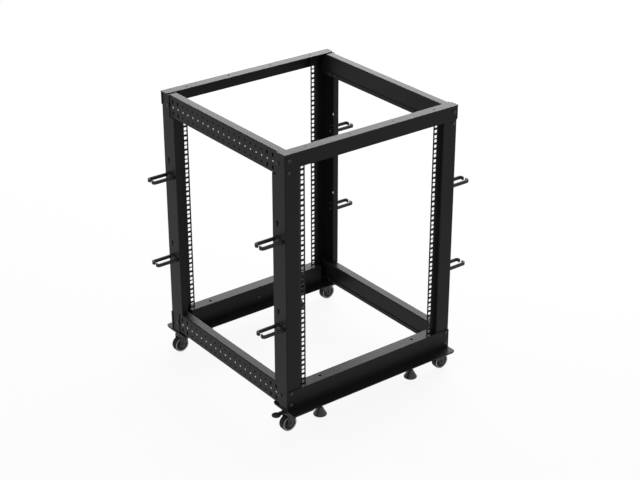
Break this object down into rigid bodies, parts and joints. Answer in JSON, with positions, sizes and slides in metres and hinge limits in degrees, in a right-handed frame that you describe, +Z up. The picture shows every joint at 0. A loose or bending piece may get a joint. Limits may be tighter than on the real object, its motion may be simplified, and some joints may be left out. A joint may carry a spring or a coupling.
{
  "type": "four post open frame rack",
  "caption": "Open frame equipment rack with square-holed 19 inch rails, perforated side beams, side cable hooks, swivel casters and levelling feet.",
  "frame": {"origin": "on the floor under the middle of the rack", "axes": "+Z up, +X to the right across the front, +Y from front to back"},
  "size_m": [0.7368, 0.661, 0.849],
  "materials": {
    "frame_paint": "fine satin powder coat",
    "hook_plastic": "satin",
    "caster_steel": "satin",
    "wheel_plastic": "satin",
    "tyre_rubber": "matt",
    "foot_rubber": "matt"
  },
  "bodies": {
    "frame": {"top_beam_front": "frame_paint", "bottom_beam_front": "frame_paint", "base_plate_front": "frame_paint", "top_beam_rear": "frame_paint", "bottom_beam_rear": "frame_paint", "base_plate_rear": "frame_paint", "top_side_beam_left": "frame_paint", "top_side_sleeve_left": "frame_paint", "top_side_beam_right": "frame_paint", "top_side_sleeve_right": "frame_paint", "bottom_side_beam_left": "frame_paint", "bottom_side_sleeve_left": "frame_paint", "bottom_side_beam_right": "frame_paint", "bottom_side_sleeve_right": "frame_paint", "post_front_left": "frame_paint", "cable_hooks_front_left": "hook_plastic", "caster_plate_front_left": "caster_steel", "post_front_right": "frame_paint", "cable_hooks_front_right": "hook_plastic", "caster_plate_front_right": "caster_steel", "post_rear_left": "frame_paint", "cable_hooks_rear_left": "hook_plastic", "caster_plate_rear_left": "caster_steel", "post_rear_right": "frame_paint", "cable_hooks_rear_right": "hook_plastic", "caster_plate_rear_right": "caster_steel"},
    "swivel_front_left": {"caster_fork_front_left": "caster_steel"},
    "wheel_front_left": {"caster_wheel_front_left": "wheel_plastic", "caster_tyre_front_left": "tyre_rubber"},
    "foot_front_left": {"levelling_foot_front_left": "foot_rubber"},
    "pedal_front_left": {"brake_pedal_front_left": "caster_steel"},
    "swivel_front_right": {"caster_fork_front_right": "caster_steel"},
    "wheel_front_right": {"caster_wheel_front_right": "wheel_plastic", "caster_tyre_front_right": "tyre_rubber"},
    "foot_front_right": {"levelling_foot_front_right": "foot_rubber"},
    "swivel_rear_left": {"caster_fork_rear_left": "caster_steel"},
    "wheel_rear_left": {"caster_wheel_rear_left": "wheel_plastic", "caster_tyre_rear_left": "tyre_rubber"},
    "foot_rear_left": {"levelling_foot_rear_left": "foot_rubber"},
    "swivel_rear_right": {"caster_fork_rear_right": "caster_steel"},
    "wheel_rear_right": {"caster_wheel_rear_right": "wheel_plastic", "caster_tyre_rear_right": "tyre_rubber"},
    "foot_rear_right": {"levelling_foot_rear_right": "foot_rubber"},
    "pedal_rear_right": {"brake_pedal_rear_right": "caster_steel"}
  },
  "joints": [
    {"name": "caster_swivel_front_left", "type": "hinge", "parent": "frame", "child": "swivel_front_left", "pos_m": [-0.261, -0.2795, 0.055], "axis": [0, 0, 1], "continuous": true},
    {"name": "wheel_spin_front_left", "type": "hinge", "parent": "swivel_front_left", "child": "wheel_front_left", "pos_m": [-0.284, -0.2795, 0.024], "axis": [0, 1, 0], "continuous": true},
    {"name": "foot_screw_front_left", "type": "slide", "parent": "frame", "child": "foot_front_left", "axis": [0, 0, 1], "range_m": [-0.007, 0.006]},
    {"name": "brake_front_left", "type": "hinge", "parent": "swivel_front_left", "child": "pedal_front_left", "pos_m": [-0.286, -0.2795, 0.0532], "axis": [0, -1, 0], "range_deg": [0, 14]},
    {"name": "caster_swivel_front_right", "type": "hinge", "parent": "frame", "child": "swivel_front_right", "pos_m": [0.261, -0.2795, 0.055], "axis": [0, 0, 1], "continuous": true},
    {"name": "wheel_spin_front_right", "type": "hinge", "parent": "swivel_front_right", "child": "wheel_front_right", "pos_m": [0.284, -0.2795, 0.024], "axis": [0, 1, 0], "continuous": true},
    {"name": "foot_screw_front_right", "type": "slide", "parent": "frame", "child": "foot_front_right", "axis": [0, 0, 1], "range_m": [-0.007, 0.006]},
    {"name": "caster_swivel_rear_left", "type": "hinge", "parent": "frame", "child": "swivel_rear_left", "pos_m": [-0.261, 0.2795, 0.055], "axis": [0, 0, 1], "continuous": true},
    {"name": "wheel_spin_rear_left", "type": "hinge", "parent": "swivel_rear_left", "child": "wheel_rear_left", "pos_m": [-0.284, 0.2795, 0.024], "axis": [0, 1, 0], "continuous": true},
    {"name": "foot_screw_rear_left", "type": "slide", "parent": "frame", "child": "foot_rear_left", "axis": [0, 0, 1], "range_m": [-0.007, 0.006]},
    {"name": "caster_swivel_rear_right", "type": "hinge", "parent": "frame", "child": "swivel_rear_right", "pos_m": [0.261, 0.2795, 0.055], "axis": [0, 0, 1], "continuous": true},
    {"name": "wheel_spin_rear_right", "type": "hinge", "parent": "swivel_rear_right", "child": "wheel_rear_right", "pos_m": [0.284, 0.2795, 0.024], "axis": [0, 1, 0], "continuous": true},
    {"name": "foot_screw_rear_right", "type": "slide", "parent": "frame", "child": "foot_rear_right", "axis": [0, 0, 1], "range_m": [-0.007, 0.006]},
    {"name": "brake_rear_right", "type": "hinge", "parent": "swivel_rear_right", "child": "pedal_rear_right", "pos_m": [0.286, 0.2795, 0.0532], "axis": [0, 1, 0], "range_deg": [0, 14]}
  ]
}
